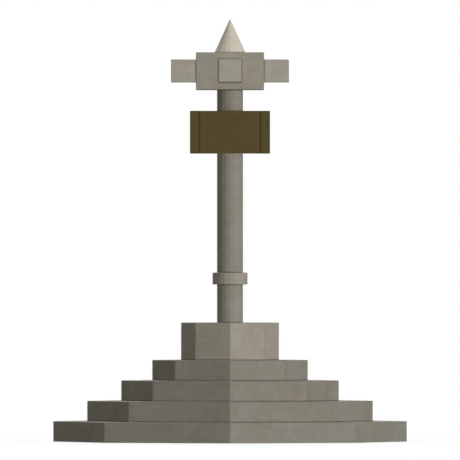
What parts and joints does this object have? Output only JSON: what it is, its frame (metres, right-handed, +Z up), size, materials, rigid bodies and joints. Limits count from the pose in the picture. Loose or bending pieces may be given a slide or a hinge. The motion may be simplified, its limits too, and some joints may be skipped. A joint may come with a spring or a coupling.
{
  "type": "market cross",
  "caption": "Stone market cross: octagonal steps, socket stone, twenty-sided shaft with a ring and a timber box, and a square head with short arms and a cone.",
  "frame": {"origin": "centre of the octagonal base on the ground", "axes": "+Z up the shaft; +X and +Y through corners of the octagonal steps and square to the faces of the head block and the timber box; the front is -Y"},
  "size_m": [3.5376, 3.5376, 4.22],
  "materials": {
    "step_stone": "matte",
    "mortar": "matte",
    "block_stone": "matte",
    "cap_stone": "matte",
    "oak": "matte"
  },
  "bodies": {
    "root": {"first_step": "step_stone", "second_step": "step_stone", "third_step": "step_stone", "fourth_step": "step_stone", "lower_shaft": "step_stone", "upper_shaft": "step_stone", "rubble_core": "mortar", "socket_stone": "block_stone", "shaft_ring": "block_stone", "head_block": "block_stone", "front_arm": "cap_stone", "back_arm": "cap_stone", "left_arm": "cap_stone", "right_arm": "cap_stone", "cone_cap": "cap_stone", "front_left_post": "oak", "front_right_post": "oak", "back_left_post": "oak", "back_right_post": "oak", "front_board": "oak", "back_board": "oak", "left_board": "oak", "right_board": "oak", "left_lid_board": "oak", "right_lid_board": "oak", "front_bearer": "oak", "back_bearer": "oak", "left_bearer": "oak", "right_bearer": "oak"}
  },
  "joints": []
}
